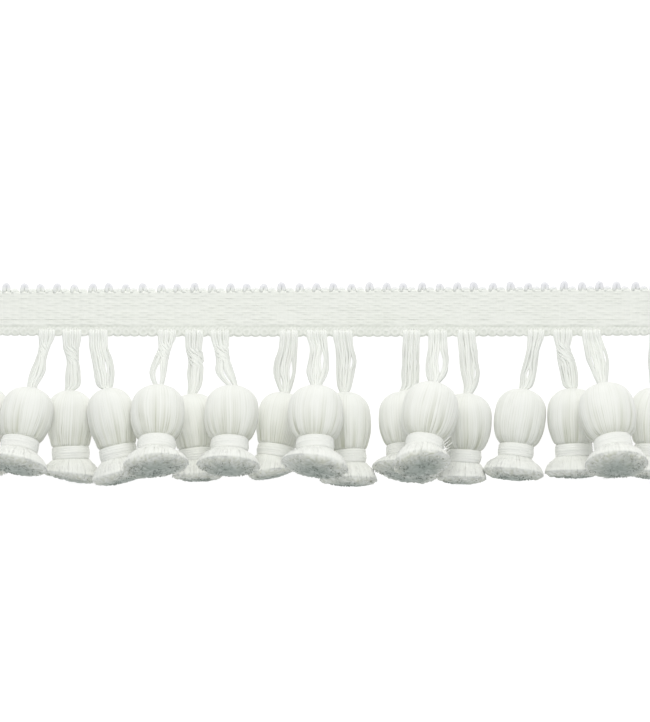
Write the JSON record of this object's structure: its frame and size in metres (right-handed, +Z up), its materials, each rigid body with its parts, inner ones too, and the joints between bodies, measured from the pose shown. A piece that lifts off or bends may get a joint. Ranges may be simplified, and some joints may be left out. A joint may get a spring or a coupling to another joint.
{
  "type": "tassel fringe trim",
  "caption": "Cut length of woven tape with picot loops along one edge and onion-headed yarn tassels on thread hangers along the other, lying face up.",
  "frame": {"origin": "middle of the tape's flat back, on the surface that the trim lies on", "axes": "+X along the tape, +Y from the tassels towards the picot loops, +Z up from the surface, out of the tape's face"},
  "size_m": [0.2179, 0.0618, 0.0322],
  "materials": {
    "tape": "matt woven white tape",
    "yarn": "soft white yarn with a faint sheen",
    "thread": "white twisted thread with a faint sheen"
  },
  "bodies": {
    "root": {"heading": "tape", "tassel_01": "yarn", "binding_01": "thread", "hanger_01": "thread", "tassel_02": "yarn", "binding_02": "thread", "hanger_02": "thread", "tassel_03": "yarn", "binding_03": "thread", "hanger_03": "thread", "tassel_04": "yarn", "binding_04": "thread", "hanger_04": "thread", "tassel_05": "yarn", "binding_05": "thread", "hanger_05": "thread", "tassel_06": "yarn", "binding_06": "thread", "hanger_06": "thread", "tassel_07": "yarn", "binding_07": "thread", "hanger_07": "thread", "tassel_08": "yarn", "binding_08": "thread", "hanger_08": "thread", "tassel_09": "yarn", "binding_09": "thread", "hanger_09": "thread", "tassel_10": "yarn", "binding_10": "thread", "hanger_10": "thread", "tassel_11": "yarn", "binding_11": "thread", "hanger_11": "thread", "tassel_12": "yarn", "binding_12": "thread", "hanger_12": "thread", "tassel_13": "yarn", "binding_13": "thread", "hanger_13": "thread", "tassel_14": "yarn", "binding_14": "thread", "hanger_14": "thread", "tassel_15": "yarn", "binding_15": "thread", "hanger_15": "thread", "tassel_16": "yarn", "binding_16": "thread", "hanger_16": "thread", "tassel_17": "yarn", "binding_17": "thread", "hanger_17": "thread"}
  },
  "joints": []
}
